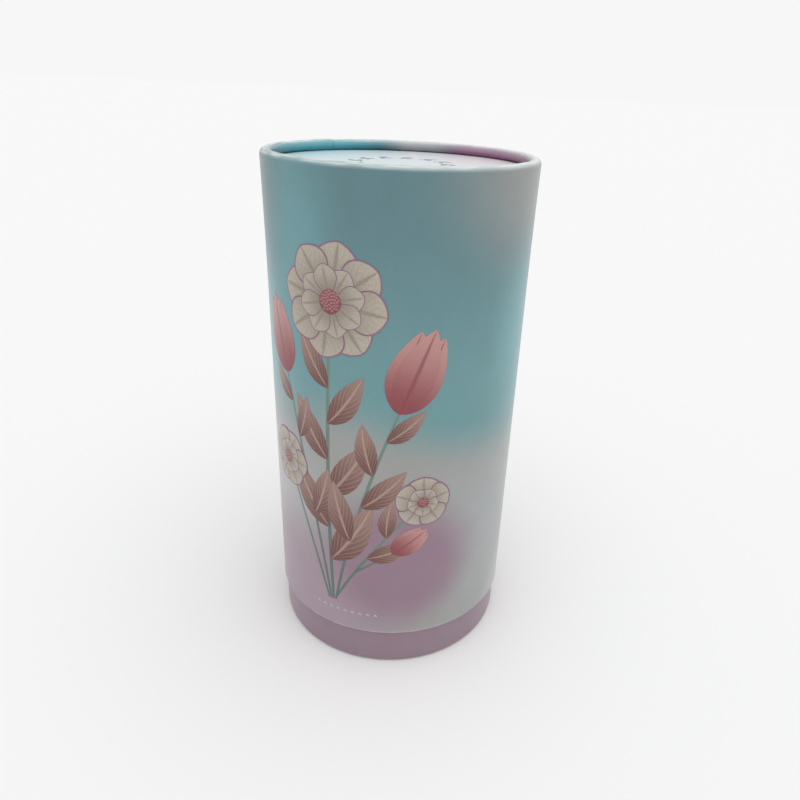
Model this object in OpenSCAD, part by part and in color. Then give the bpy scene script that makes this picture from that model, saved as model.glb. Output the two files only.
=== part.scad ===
// Telescoping paper tube box: a printed sleeve that slides down over a plain base tube.
// The sleeve's rim and the base's foot are rolled inwards, and a board disc is pushed up to
// each roll from inside. Millimetres, +Z up, origin on the table under the middle of the box.

/* [Closed box] */
// Outside diameter of the closed box, over the printed paper
box_d = 100; // [85:1:120]
// Height of the closed box, from the table to the top of the rim
box_h = 200; // [160:1:240]
// Height of the base that shows below the sleeve
foot_show = 17.2; // [12:0.2:40]

/* [Sleeve plies] */
// Thickness of the printed paper round the sleeve
sleeve_paper_t = 0.15; // [0.1:0.01:0.2]
// Thickness of the wound board of the sleeve
sleeve_board_t = 0.55; // [0.4:0.05:0.8]
// Thickness of the lining inside the sleeve
sleeve_lining_t = 0.1; // [0.08:0.01:0.15]

/* [Base plies] */
// Thickness of the plain paper round the base
base_paper_t = 0.15; // [0.1:0.01:0.2]
// Thickness of the wound board of the base
base_board_t = 0.9; // [0.6:0.05:1.1]
// Thickness of the lining inside the base
base_lining_t = 0.1; // [0.08:0.01:0.15]

/* [Rolled edges] */
// Overall thickness of the roll round the sleeve's rim
rim_roll_d = 4.1; // [3.6:0.1:5]
// Overall thickness of the roll round the base's foot
foot_roll_d = 4.1; // [3.6:0.1:5]
// Angle that the plies turn through in a roll, from the upright wall
roll_turn = 285; // [250:5:290]
// Depth of the flat that standing presses into the roll of the foot
foot_flat = 0.05; // [0.02:0.01:0.08]

/* [End discs] */
// Thickness of the board of each end disc
disc_board_t = 1.5; // [1:0.1:2.5]
// Thickness of the paper on the outer face of each end disc
disc_paper_t = 0.15; // [0.1:0.01:0.25]
// Thickness of the lining on the inner face of each end disc
disc_lining_t = 0.1; // [0.08:0.01:0.15]
// Slack between a roll and the disc pushed up to it
disc_slack = 0.1; // [0.05:0.01:0.3]

/* [Fits] */
// Air between the sleeve's lining and the base's paper, on each side
slide_gap = 0.3; // [0.2:0.05:0.8]
// Air left between the lid's lining and the mouth of the base
seat_gap = 0.05; // [0.02:0.01:0.2]

/* [Hidden] */

// Facets of a whole turn round the box, and of a whole turn round a roll
box_fn = 180;
roll_fn = 48;

// Radii of the sleeve and the base, from the outside in
sleeve_r = box_d / 2;
sleeve_wall = sleeve_paper_t + sleeve_board_t + sleeve_lining_t;
sleeve_bore_r = sleeve_r - sleeve_wall;
base_r = sleeve_bore_r - slide_gap;
base_wall = base_paper_t + base_board_t + base_lining_t;
base_bore_r = base_r - base_wall;

// Heights, from the rim down and from the foot up
sleeve_h = box_h - foot_show;
lid_face_z = box_h - rim_roll_d - disc_slack;
disc_stack = disc_paper_t + disc_board_t + disc_lining_t;
lid_ceiling_z = lid_face_z - disc_stack;
base_h = lid_ceiling_z - seat_gap;
base_face_z = foot_roll_d - foot_flat + disc_slack;

// Reach of the shapes that only cut
cut_reach = 2;

// Colours, as the box shows them
printed_blue = [0.60, 0.75, 0.78];
disc_white = [0.80, 0.84, 0.86];
plain_lilac = [0.62, 0.53, 0.60];
lining_white = [0.93, 0.93, 0.91];
grey_board = [0.62, 0.59, 0.54];

// The wedge of a roll that its plies leave open, as a flat shape about the roll's middle
module roll_opening(roll_r) {
    reach = cut_reach * roll_r;
    polygon([
        [0, 0],
        [reach * cos(roll_turn), reach * sin(roll_turn)],
        [reach, reach * sin(roll_turn)],
        [reach, 0]
    ]);
}

// Half section of one ply of a wound wall with its top edge rolled inwards. The ply lies
// between two depths under the wall's outer face, and stands on y = 0.
module rolled_ply(outer_r, roll_d, height, depth, ply_t) {
    roll_r = roll_d / 2;
    translate([outer_r - depth - ply_t, 0])
        square([ply_t, height - roll_r]);
    translate([outer_r - roll_r, height - roll_r])
        difference() {
            circle(r = roll_r - depth, $fn = roll_fn);
            circle(r = roll_r - depth - ply_t, $fn = roll_fn);
            roll_opening(roll_r);
        }
}

// The same for the sleeve, in place, and for the base, which is rolled at its foot and
// pressed flat where it stands
module sleeve_ply(depth, ply_t) {
    translate([0, foot_show])
        rolled_ply(sleeve_r, rim_roll_d, sleeve_h, depth, ply_t);
}

module base_ply(depth, ply_t) {
    difference() {
        translate([0, base_h])
            mirror([0, 1])
                rolled_ply(base_r, foot_roll_d, base_h + foot_flat, depth, ply_t);
        translate([0, -foot_roll_d])
            square([cut_reach * base_r, foot_roll_d]);
    }
}

// One whole turn of a section round the box
module turned() {
    rotate_extrude($fn = box_fn)
        children();
}

// A round layer of an end disc
module disc_layer(r, z, t) {
    translate([0, 0, z])
        cylinder(r = r, h = t, $fn = box_fn);
}

module lid_wrap() {
    color(printed_blue)
        turned()
            sleeve_ply(0, sleeve_paper_t);
}

module lid_tube() {
    color(grey_board)
        turned()
            sleeve_ply(sleeve_paper_t, sleeve_board_t);
}

module lid_lining() {
    color(lining_white)
        turned()
            sleeve_ply(sleeve_paper_t + sleeve_board_t, sleeve_lining_t);
}

module lid_disc_print() {
    color(disc_white)
        disc_layer(sleeve_bore_r, lid_face_z - disc_paper_t, disc_paper_t);
}

module lid_disc() {
    color(grey_board)
        disc_layer(sleeve_bore_r, lid_ceiling_z + disc_lining_t, disc_board_t);
}

module lid_disc_lining() {
    color(lining_white)
        disc_layer(sleeve_bore_r, lid_ceiling_z, disc_lining_t);
}

module base_wrap() {
    color(plain_lilac)
        turned()
            base_ply(0, base_paper_t);
}

module base_tube() {
    color(grey_board)
        turned()
            base_ply(base_paper_t, base_board_t);
}

module base_lining() {
    color(lining_white)
        turned()
            base_ply(base_paper_t + base_board_t, base_lining_t);
}

module base_disc_cover() {
    color(lining_white)
        disc_layer(base_bore_r, base_face_z, disc_paper_t);
}

module base_disc() {
    color(grey_board)
        disc_layer(base_bore_r, base_face_z + disc_paper_t, disc_board_t);
}

module base_floor_lining() {
    color(lining_white)
        disc_layer(base_bore_r, base_face_z + disc_paper_t + disc_board_t, disc_lining_t);
}

lid_tube();
lid_wrap();
lid_lining();
lid_disc();
lid_disc_print();
lid_disc_lining();
base_tube();
base_wrap();
base_lining();
base_disc();
base_disc_cover();
base_floor_lining();
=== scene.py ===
# %% [markdown]
# # A telescoping gift tube, from wound board to printed paper
#
# This notebook dresses a round gift box. A printed sleeve with a rolled rim slides down over a
# plain base tube with a rolled foot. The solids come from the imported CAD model, and this file adds
# what the eye reads: smooth plies, creased rolls, lap seams, a soft airbrushed print and its inks.
# It starts by loading the CAD solids, which stay exactly where they are.

# %% The CAD frame
import math

import bpy
from mathutils import Matrix, Vector


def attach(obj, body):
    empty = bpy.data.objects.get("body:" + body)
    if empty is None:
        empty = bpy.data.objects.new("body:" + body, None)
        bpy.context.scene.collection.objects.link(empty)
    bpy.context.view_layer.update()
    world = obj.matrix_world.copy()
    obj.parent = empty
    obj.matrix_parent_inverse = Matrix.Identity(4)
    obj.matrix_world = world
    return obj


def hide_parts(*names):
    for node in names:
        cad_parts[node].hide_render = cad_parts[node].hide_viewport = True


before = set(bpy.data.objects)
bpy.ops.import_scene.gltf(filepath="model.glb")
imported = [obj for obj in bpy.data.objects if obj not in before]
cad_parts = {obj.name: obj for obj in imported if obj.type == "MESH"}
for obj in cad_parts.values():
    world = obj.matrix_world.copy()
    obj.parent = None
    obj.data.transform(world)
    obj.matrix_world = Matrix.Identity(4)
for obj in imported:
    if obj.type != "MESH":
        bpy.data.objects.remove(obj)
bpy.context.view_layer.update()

MM = 0.001
print("CAD nodes:", ", ".join(sorted(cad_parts)))

# %% [markdown]
# ## Two helpers
#
# Every finish and every rule-made shape in this file is a tree of nodes. Adding a node is always
# the same three things: its kind, its settings and what is plugged in. One function does them all,
# and the kinds that come up most have short names. Colours are written as sRGB hex, as a designer
# gives them to a printer, and turned to the linear light that the shader works in.

# %% Colours and nodes
MATH, VECTOR_MATH = "ShaderNodeMath", "ShaderNodeVectorMath"
RANGE, MIX, NOISE = "ShaderNodeMapRange", "ShaderNodeMix", "ShaderNodeTexNoise"
JOIN_XYZ, SPLIT_XYZ = "ShaderNodeCombineXYZ", "ShaderNodeSeparateXYZ"


def linear(hex_colour):
    """An sRGB hex colour as linear red, green, blue and alpha, by the standard's own curve."""
    channels = [int(hex_colour[i:i + 2], 16) / 255 for i in (0, 2, 4)]
    light = [c / 12.92 if c <= 0.04045 else ((c + 0.055) / 1.055) ** 2.4 for c in channels]
    return (*light, 1.0)


def add(tree, kind, *inputs, **settings):
    """Adds a node. Settings are its own, inputs go to its open sockets in order: a socket is
    linked, a value is typed in, None leaves it. Gives back the node's first open output."""
    node = tree.nodes.new(kind)
    for name, value in settings.items():
        setattr(node, name, value)
    for socket, value in zip([s for s in node.inputs if s.enabled], inputs):
        if isinstance(value, bpy.types.NodeSocket):
            tree.links.new(value, socket)
        elif value is not None:
            socket.default_value = value
    outputs = [s for s in node.outputs if s.enabled]
    return outputs[0] if outputs else node


print("mid lilac in linear light:", [round(c, 3) for c in linear("8F7A86")])

# %% [markdown]
# ## The camera
#
# The picture was taken from a little above the rim, close enough for the tube to narrow towards
# the table. The camera's place was solved from the outlines of the rim, the foot and the sleeve's
# lower edge, in radii of the box. A close camera matters more than it seems: it is what makes the
# recessed top show as a thin sliver while the foot curves strongly.

# %% The camera of the picture
BOX_RADIUS = 50 * MM
IMAGE_SIDE = 800
SENSOR = 36.0

# Angles are in radians, the focal length and the optical centre in pixels.
camera_back = 5.092 * BOX_RADIUS
camera_height = 4.425 * BOX_RADIUS
camera_yaw, camera_pitch, camera_roll = 0.0473, 0.4415, 0.0460
focal_pixels = 659.57
centre_x, centre_y = 423.65, 398.42

forward = Vector((math.sin(camera_yaw) * math.cos(camera_pitch),
                  math.cos(camera_yaw) * math.cos(camera_pitch),
                  -math.sin(camera_pitch)))
level_right = Vector((math.cos(camera_yaw), -math.sin(camera_yaw), 0))
level_up = level_right.cross(forward)
right = math.cos(camera_roll) * level_right + math.sin(camera_roll) * level_up
up = math.cos(camera_roll) * level_up - math.sin(camera_roll) * level_right

camera_data = bpy.data.cameras.new("picture_camera")
camera_data.sensor_fit = "HORIZONTAL"
camera_data.sensor_width = SENSOR
camera_data.lens = SENSOR * focal_pixels / IMAGE_SIDE
camera_data.shift_x = (IMAGE_SIDE / 2 - centre_x) / IMAGE_SIDE
camera_data.shift_y = (centre_y - IMAGE_SIDE / 2) / IMAGE_SIDE
camera_data.clip_start = 10 * MM
camera = bpy.data.objects.new("picture_camera", camera_data)
camera.matrix_world = Matrix.Translation((0, -camera_back, camera_height)) @ Matrix(
    (right, up, -forward)).transposed().to_4x4()
bpy.context.scene.collection.objects.link(camera)
bpy.context.scene.camera = camera
print(f"lens {camera_data.lens:.1f} mm, {camera_back / MM:.0f} mm in front")

# %% [markdown]
# ## The studio
#
# A photographer would put this box on a white sweep under one very large soft light. An even sky
# gives most of the light, and a broad soft sun from above, a little in front and to the right,
# lifts the rim and lays a faint shadow at the foot. What the camera and the mirror-like part of
# the paper see is a pale backdrop, while the sky that lights the box is dimmer: this keeps a
# colour on the box about as it is written.

# %% Sky and soft sun
BACKDROP = "F7F7F7"
SKY_LEVEL = 0.66
SUN_POWER = 1.24
SUN_SPREAD = math.radians(70)
SUN_TO_FRONT, SUN_TO_RIGHT = math.radians(14), math.radians(6)

bpy.context.scene.view_settings.view_transform = "Standard"

world = bpy.data.worlds.new("pale_studio")
bpy.context.scene.world = world
world.use_nodes = True
sky = world.node_tree
sky.nodes.clear()
seen = add(sky, "ShaderNodeLightPath").node
mirror_or_glass = add(sky, MATH, seen.outputs["Is Glossy Ray"],
                      seen.outputs["Is Transmission Ray"], operation="MAXIMUM")
shows_backdrop = add(sky, MATH, seen.outputs["Is Camera Ray"], mirror_or_glass,
                     operation="MAXIMUM")
lighting = add(sky, "ShaderNodeBackground", (1, 1, 1, 1), SKY_LEVEL)
backdrop = add(sky, "ShaderNodeBackground", linear(BACKDROP), 1.0)
both = add(sky, "ShaderNodeMixShader", shows_backdrop, lighting, backdrop)
add(sky, "ShaderNodeOutputWorld", both)

sun_data = bpy.data.lights.new("soft_sun", "SUN")
sun_data.energy = SUN_POWER
sun_data.angle = SUN_SPREAD
sun = bpy.data.objects.new("soft_sun", sun_data)
sun.rotation_euler = (SUN_TO_FRONT, SUN_TO_RIGHT, 0)
bpy.context.scene.collection.objects.link(sun)
print("sky", SKY_LEVEL, "sun", SUN_POWER, "backdrop", BACKDROP)

# %% [markdown]
# ### The floor
#
# The sweep is matt paper that reaches far past the picture. It is a touch darker than the
# backdrop, by as much as the light lifts it, so that no horizon shows.

# %% The sweep under the box
FLOOR_PAPER = "F4F4F4"
FLOOR_REACH = 30.0

floor_mesh = bpy.data.meshes.new("studio_floor")
corners = [(-FLOOR_REACH, -FLOOR_REACH, 0), (FLOOR_REACH, -FLOOR_REACH, 0),
           (FLOOR_REACH, FLOOR_REACH, 0), (-FLOOR_REACH, FLOOR_REACH, 0)]
floor_mesh.from_pydata(corners, [], [(0, 1, 2, 3)])
floor = bpy.data.objects.new("studio_floor", floor_mesh)
bpy.context.scene.collection.objects.link(floor)
floor_paint = bpy.data.materials.new("matt_white_sweep")
floor_paint.use_nodes = True
floor_paint.node_tree.nodes.clear()
sweep = add(floor_paint.node_tree, "ShaderNodeBsdfDiffuse", linear(FLOOR_PAPER))
add(floor_paint.node_tree, "ShaderNodeOutputMaterial", sweep)
floor_mesh.materials.append(floor_paint)
print("floor of", FLOOR_PAPER, "paper,", 2 * FLOOR_REACH, "m wide")

# %% [markdown]
# ## Trees with named sizes
#
# Geometry Nodes suit a box like this, because each wall and each printed petal follows a rule. Two
# functions begin and end each tree. The first opens it with sizes that have names, as a drawing
# has. The second closes it: faces shade softly, sharp folds stay crisp, copies are made real and
# the finish is put on.

# %% Opening and ending a tree
CRISP_FOLD = 0.7  # radians: an edge folded further than this stays crisp


def open_tree(name, sizes, takes_geometry=False):
    """A geometry tree with named sizes and a material. Gives the tree and its inputs by name."""
    tree = bpy.data.node_groups.new(name, "GeometryNodeTree")
    if takes_geometry:
        tree.interface.new_socket("Geometry", in_out="INPUT", socket_type="NodeSocketGeometry")
    for label, value in sizes.items():
        kind = "NodeSocketInt" if isinstance(value, int) else "NodeSocketFloat"
        socket = tree.interface.new_socket(label, in_out="INPUT", socket_type=kind)
        socket.default_value = value
    tree.interface.new_socket("Material", in_out="INPUT", socket_type="NodeSocketMaterial")
    tree.interface.new_socket("Geometry", in_out="OUTPUT", socket_type="NodeSocketGeometry")
    entry = tree.nodes.new("NodeGroupInput")
    return tree, {s.name: s for s in entry.outputs if s.name}


def end_tree(tree, shape, material):
    """Shades the shape, makes it real, gives it the material and hands it out of the tree."""
    folded = add(tree, "GeometryNodeInputMeshEdgeAngle")
    sharp = add(tree, MATH, folded, CRISP_FOLD, operation="GREATER_THAN")
    soft = add(tree, "GeometryNodeSetShadeSmooth", shape, None, True)
    crisp = add(tree, "GeometryNodeSetShadeSmooth", soft, sharp, False, domain="EDGE")
    real = add(tree, "GeometryNodeRealizeInstances", crisp)
    add(tree, "NodeGroupOutput", add(tree, "GeometryNodeSetMaterial", real, None, material))
    print(f"{tree.name}: {len(tree.nodes)} nodes")


print(f"folds over {math.degrees(CRISP_FOLD):.0f} degrees stay crisp")

# %% [markdown]
# ### Running a tree
#
# A tree does nothing by itself. A modifier runs it on an object, and what comes out is kept as a
# plain mesh, which any program can read. The modifier's sizes are set through the socket's
# identifier, because two sockets may share a name, and before the object is first looked at.

# %% Running a tree
def grow(name, tree, sizes, material, start=None):
    """Runs a tree with these sizes and gives an object that holds the result as a plain mesh."""
    piece = bpy.data.objects.new(name, start or bpy.data.meshes.new(name + "_start"))
    bpy.context.scene.collection.objects.link(piece)
    rule = piece.modifiers.new("rule", "NODES")
    rule.node_group = tree
    values = {**sizes, "Material": material}
    for item in tree.interface.items_tree:
        if item.in_out == "INPUT" and item.name in values:
            rule[item.identifier] = values[item.name]
    seen_now = piece.evaluated_get(bpy.context.evaluated_depsgraph_get())
    plain = bpy.data.meshes.new_from_object(seen_now)
    piece.modifiers.clear()
    piece.data = plain
    plain.name = name
    triangles = sum(len(p.vertices) - 2 for p in plain.polygons)
    print(f"{name}: {triangles} triangles")
    return piece


print("all lengths are in metres, so a millimetre is", MM)

# %% [markdown]
# ## A wall of rolled paper
#
# The real walls are wound on a steel rod from paper and board, then a spinning curling tool folds
# the edge inwards and round on itself. All plies follow the same line at different depths, so one
# tree makes each of them: a flat grid is bent so that its rows run up the outside of the ply, round
# the roll, back down the inside and close at the cut edge. Its columns run round the box.
#
# Four things make it paper and not a turned solid. Where the roll pulls the ply to a smaller
# circle, the paper buckles in small creases a couple of millimetres apart. Where the paper's two
# ends overlap there is a step of one paper thickness. At the cut edge the knife leaves a lip. And
# a curled rim springs back a hair wider than its wall, so the wall flares gently towards it.

# %% Sizes of a wall and its flat sheet
PAPER_PLY = 0.15 * MM
ROLL = 4.1 * MM
FLARE_HEIGHT = 45 * MM

wall_sizes = {
    "Radius": BOX_RADIUS, "Wall Height": 180 * MM, "Cut Edge Z": 0.0, "Direction": 1.0,
    "Lowest Z": -1.0, "Roll Diameter": ROLL, "Roll Turn": math.radians(285),
    "Depth": 0.0, "Thickness": PAPER_PLY, "Segments": 240, "Wall Rows": 12, "Roll Rows": 20,
    "Lap Angle": 0.0, "Lap Width": 12 * MM, "Lap Step": 0.0, "Lap Fade": 1.5 * MM,
    "Crease Depth": 0.0, "Crease Spacing": 2.2 * MM, "Lip Depth": 0.0, "Lip Height": 0.8 * MM,
    "Rim Flare": 0.0, "Flare Height": FLARE_HEIGHT,
}
wall, size = open_tree("rolled_paper_wall", wall_sizes)

rows = add(wall, MATH, size["Wall Rows"], size["Roll Rows"], operation="ADD")
loop = add(wall, MATH, rows, 2.0, 2.0, operation="MULTIPLY_ADD")
across = add(wall, MATH, loop, 1.0, operation="ADD")
around = add(wall, MATH, size["Segments"], 1.0, operation="ADD")
sheet = add(wall, "GeometryNodeMeshGrid", 1.0, 1.0, around, across)

# Column and row of each point. The rows go up the outside and come back down the inside.
index = add(wall, "GeometryNodeInputIndex")
column = add(wall, MATH, add(wall, MATH, index, across, operation="DIVIDE"), operation="FLOOR")
in_column = add(wall, MATH, index, across, operation="MODULO")
place = add(wall, MATH, in_column, loop, operation="MODULO")
middle = add(wall, MATH, rows, 0.5, operation="ADD")
off_middle = add(wall, MATH, place, middle, operation="SUBTRACT")
from_middle = add(wall, MATH, off_middle, operation="ABSOLUTE")
row = add(wall, MATH, middle, from_middle, operation="SUBTRACT")
inside = add(wall, MATH, place, rows, operation="GREATER_THAN")
outside = add(wall, MATH, 1.0, inside, operation="SUBTRACT")
print(len(wall_sizes), "named sizes,", len(wall.nodes), "nodes for the flat sheet")

# %% [markdown]
# ### Up the wall, round the roll, round the box
#
# Three numbers place a point of the sheet: its height on the straight wall, how far it has turned
# round the roll, and its angle round the box. The rows stand closest at the cut edge, where the
# knife's lip needs them.

# %% Height, turn and angle
row_share = add(wall, MATH, row, size["Wall Rows"], operation="DIVIDE")
wall_share = add(wall, MATH, row_share, 1.0, operation="MINIMUM")
crowded = add(wall, MATH, wall_share, 2.0, operation="POWER")
roll_radius = add(wall, MATH, size["Roll Diameter"], 0.5, operation="MULTIPLY")
straight = add(wall, MATH, size["Wall Height"], roll_radius, operation="SUBTRACT")
height = add(wall, MATH, straight, crowded, operation="MULTIPLY")

rows_past = add(wall, MATH, row, size["Wall Rows"], operation="SUBTRACT")
past_wall = add(wall, MATH, rows_past, 0.0, operation="MAXIMUM")
roll_share = add(wall, MATH, past_wall, size["Roll Rows"], operation="DIVIDE")
turned = add(wall, MATH, roll_share, size["Roll Turn"], operation="MULTIPLY")

round_share = add(wall, MATH, column, size["Segments"], operation="DIVIDE")
angle = add(wall, MATH, round_share, math.tau, operation="MULTIPLY")
cos_angle = add(wall, MATH, angle, operation="COSINE")
sin_angle = add(wall, MATH, angle, operation="SINE")
print("wall, roll and round:", len(wall.nodes), "nodes so far")

# %% [markdown]
# ### What makes it paper
#
# Each of the four traces is a small change of radius. A lap and a lip show on the outside only.
# A crease goes through the whole ply, so both of its faces buckle together and it keeps its
# thickness. The flare moves the roll's middle outwards, so the roll rides on it unchanged.

# %% Lap, creases, lip and flare
NOISE_SPAN = (0.3, 0.7)  # nearly all of a noise's values lie between these
CREASE_DRIFT = 0.03  # how little a crease changes on its way round the roll
CREASES_START, CREASES_FULL = 0.5, 1.7  # radians round the roll

# The lap: the upper paper starts with a sharp edge and fades where the lower paper ends.
past_lap = add(wall, MATH, angle, size["Lap Angle"], operation="SUBTRACT")
since_lap = add(wall, MATH, past_lap, math.tau, operation="FLOORED_MODULO")
lap_run = add(wall, MATH, since_lap, size["Radius"], operation="MULTIPLY")
fade_from = add(wall, MATH, size["Lap Width"], size["Lap Fade"], operation="SUBTRACT")
fade_to = add(wall, MATH, size["Lap Width"], size["Lap Fade"], operation="ADD")
lap = add(wall, RANGE, lap_run, fade_from, fade_to, size["Lap Step"], 0.0,
          interpolation_type="SMOOTHSTEP")

# The creases grow as the roll tightens, and the lip swells just above the cut edge.
drift = add(wall, MATH, turned, CREASE_DRIFT, operation="MULTIPLY")
crease_place = add(wall, JOIN_XYZ, cos_angle, sin_angle, drift)
crease_scale = add(wall, MATH, size["Radius"], size["Crease Spacing"], operation="DIVIDE")
buckle = add(wall, NOISE, crease_place, crease_scale, 2.0, 0.6)
signed = add(wall, RANGE, buckle, *NOISE_SPAN, -1.0, 1.0)
tightness = add(wall, RANGE, turned, CREASES_START, CREASES_FULL, 0.0, 1.0,
                interpolation_type="SMOOTHSTEP")
crease_size = add(wall, MATH, tightness, size["Crease Depth"], operation="MULTIPLY")
crease = add(wall, MATH, signed, crease_size, operation="MULTIPLY")
lip = add(wall, RANGE, height, 0.0, size["Lip Height"], size["Lip Depth"], 0.0,
          interpolation_type="SMOOTHSTEP")
lap_and_lip = add(wall, MATH, lap, lip, operation="ADD")
proud = add(wall, MATH, lap_and_lip, outside, operation="MULTIPLY")
swell = add(wall, MATH, crease, proud, operation="ADD")

# The flare grows with the square of the climb, and the roll keeps all of it.
flare_from = add(wall, MATH, straight, size["Flare Height"], operation="SUBTRACT")
flare_share = add(wall, RANGE, height, flare_from, straight)
flare_square = add(wall, MATH, flare_share, 2.0, operation="POWER")
flare = add(wall, MATH, flare_square, size["Rim Flare"], operation="MULTIPLY")
print("traces of paper:", len(wall.nodes), "nodes so far")

# %% [markdown]
# ### From a flat sheet to a round wall
#
# Depth in the wall gives the radius of the ply's own roll, so the plies nest in each other. The
# section is then turned round the box. A base is the same wall upside down, and whatever would
# reach below the table is pressed flat on it, as the foot of the real tube is.

# %% Bending the sheet
depth = add(wall, MATH, inside, size["Thickness"], size["Depth"], operation="MULTIPLY_ADD")
plain_radius = add(wall, MATH, roll_radius, depth, operation="SUBTRACT")
ply_radius = add(wall, MATH, plain_radius, swell, operation="ADD")
flared_radius = add(wall, MATH, size["Radius"], flare, operation="ADD")
roll_centre = add(wall, MATH, flared_radius, roll_radius, operation="SUBTRACT")
cos_turn = add(wall, MATH, turned, operation="COSINE")
sin_turn = add(wall, MATH, turned, operation="SINE")
reach = add(wall, MATH, cos_turn, ply_radius, roll_centre, operation="MULTIPLY_ADD")
rise = add(wall, MATH, sin_turn, ply_radius, height, operation="MULTIPLY_ADD")
free_level = add(wall, MATH, rise, size["Direction"], size["Cut Edge Z"],
                 operation="MULTIPLY_ADD")
level = add(wall, MATH, free_level, size["Lowest Z"], operation="MAXIMUM")
point = add(wall, JOIN_XYZ, add(wall, MATH, cos_angle, reach, operation="MULTIPLY"),
            add(wall, MATH, sin_angle, reach, operation="MULTIPLY"), level)
bent = add(wall, "GeometryNodeSetPosition", sheet, None, point)
print("bent wall:", len(wall.nodes), "nodes so far")

# %% [markdown]
# ### The sheet's own map
#
# A printer thinks of the sheet before it is rolled. Each point keeps where it was on that sheet,
# in metres round the box and metres from the cut edge, also over the roll. It is stored on face
# corners before the seam is sewn, so the two ends of the sheet keep their own numbers.

# %% Mapping and sewing
WELD = 0.001 * MM

run = add(wall, MATH, angle, size["Radius"], operation="MULTIPLY")
from_cut = add(wall, MATH, turned, roll_radius, height, operation="MULTIPLY_ADD")
on_points = add(wall, "GeometryNodeFieldOnDomain", add(wall, JOIN_XYZ, run, from_cut, 0.0),
                data_type="FLOAT_VECTOR", domain="POINT")
mapped = add(wall, "GeometryNodeStoreNamedAttribute", bent, None, "unrolled", on_points,
             data_type="FLOAT2", domain="CORNER")
sewn = add(wall, "GeometryNodeMergeByDistance", mapped, None, WELD)
downwards = add(wall, MATH, size["Direction"], 0.0, operation="LESS_THAN")
end_tree(wall, add(wall, "GeometryNodeFlipFaces", sewn, downwards), size["Material"])

# %% [markdown]
# ## Paper finishes
#
# Three papers and one board cover the box. The print is coated art paper under a satin film, and
# the base wears a lilac paper under the same film. The linings are white uncoated paper, and the
# walls are grey board made from pulped waste paper, with flecks in it. One function makes all of
# them, because they differ in numbers more than in kind: how strong the fibre shows, how rough the
# face is, and how much the colour wanders. Its colour is either one hex value or a function that
# draws a pattern.

# %% Paper and board
FIBRE_STEP = 0.35 * MM
CLOUD_STEP = 9 * MM
SATIN_FILM = 0.3


def paper(name, colour, roughness, ior=1.47, fibre=0.03, cloud=0.02, relief=0.004 * MM):
    """A paper face: slow clouds and fine fibres in its colour, and a faint relief. Fibres are
    about 0.05 mm in truth, and drawn 0.35 mm apart so that they show in a picture."""
    material = bpy.data.materials.new(name)
    material.use_nodes = True
    tree = material.node_tree
    tree.nodes.clear()
    at = add(tree, "ShaderNodeTexCoord").node.outputs["Object"]
    fibres = add(tree, NOISE, at, 1 / FIBRE_STEP, 3.0, 0.65)
    clouds = add(tree, NOISE, at, 1 / CLOUD_STEP, 2.0, 0.5)
    light_fibre = add(tree, RANGE, fibres, *NOISE_SPAN, 1 - fibre, 1 + fibre)
    light_cloud = add(tree, RANGE, clouds, *NOISE_SPAN, 1 - cloud, 1 + cloud)
    light = add(tree, MATH, light_fibre, light_cloud, operation="MULTIPLY")
    plain = linear(colour)[:3] if isinstance(colour, str) else colour(tree, at)
    body = add(tree, VECTOR_MATH, plain, operation="SCALE")
    tree.links.new(light, body.node.inputs["Scale"])
    bump = add(tree, "ShaderNodeBump", 1.0, relief)
    tree.links.new(fibres, bump.node.inputs["Height"])
    surface = add(tree, "ShaderNodeBsdfPrincipled").node
    surface.inputs["Roughness"].default_value = roughness
    surface.inputs["IOR"].default_value = ior
    tree.links.new(body, surface.inputs["Base Color"])
    tree.links.new(bump, surface.inputs["Normal"])
    add(tree, "ShaderNodeOutputMaterial", surface.outputs[0])
    print(f"{name}: {len(tree.nodes)} nodes, roughness {roughness}")
    return material


white_paper = paper("uncoated_white_lining_paper", "E4E2DC", 0.85, fibre=0.04)
grey_board = paper("wound_grey_board", "9C958A", 0.9, fibre=0.12, cloud=0.05, relief=0.02 * MM)

# %% [markdown]
# ## The airbrushed ground
#
# The sleeve is printed with a sky that fades to a pale horizon and a lilac floor, like a backdrop
# lit by coloured lamps. It could be painted as a picture, but it is only a few soft clouds of ink,
# and one of them is a painted sheen at the right foot.
# Each cloud is a ball of colour set in space near the wall, and the paper shows where it cuts the
# ball. Since the balls live in the box's own coordinates, the print runs over the rim and round the
# back with no seam. The horizon is one tilted plane, lower on the right than on the left.

# %% Sky, horizon and clouds
SKY_TOP, SKY_LOW, HORIZON = "5E8187", "6C979B", "9D9D9B"
SKY_FADES = (120 * MM, 195 * MM)
HORIZON_FADES = (97 * MM, 121 * MM)
HORIZON_TILT = 0.32

# Name, colour, middle and radii of the ball in mm, and how far in the ink is full.
CLOUDS = (
    ("pearl at the upper right", "8F9392", (47, -21, 200), (56, 57, 48), 0.75),
    ("light teal at the left", "7FB0B4", (-48, -10, 132), (22, 60, 44), 0.9),
    ("light teal beside it", "6B9BA1", (-33, -37, 158), (22, 22, 80), 0.9),
    ("light teal at the right", "72A4A9", (46, -20, 138), (20, 36, 50), 0.85),
    ("grey white at the lower right", "A4A7A8", (40, -16, 62), (60, 70, 60), 0.8),
    # A painted sheen: this cloud lightens the lower right edge of the sleeve.
    ("painted sheen at the right foot", "B3B3B6", (52, -12, 14), (20, 40, 32), 0.7),
    ("grey white at the lower left", "B6B3B7", (-48, -14, 78), (40, 60, 40), 0.8),
    ("pale lilac at the foot", "A3909C", (-38, -30, 26), (60, 60, 50), 0.7),
    ("lilac pool in front", "937988", (2, -50, 52), (38, 60, 39), 0.55),
    ("deep teal at the back left", "6AACB6", (-35, 33, 198), (44, 44, 56), 0.8),
    ("mauve at the back right", "AB8BA0", (40, 32, 200), (44, 44, 56), 0.75),
    ("pale grey at the back", "AEB0B3", (9, 50, 202), (22, 16, 40), 0.7),
    ("lilac pool behind", "8F7787", (8, 50, 48), (60, 40, 42), 0.6),
)


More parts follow.
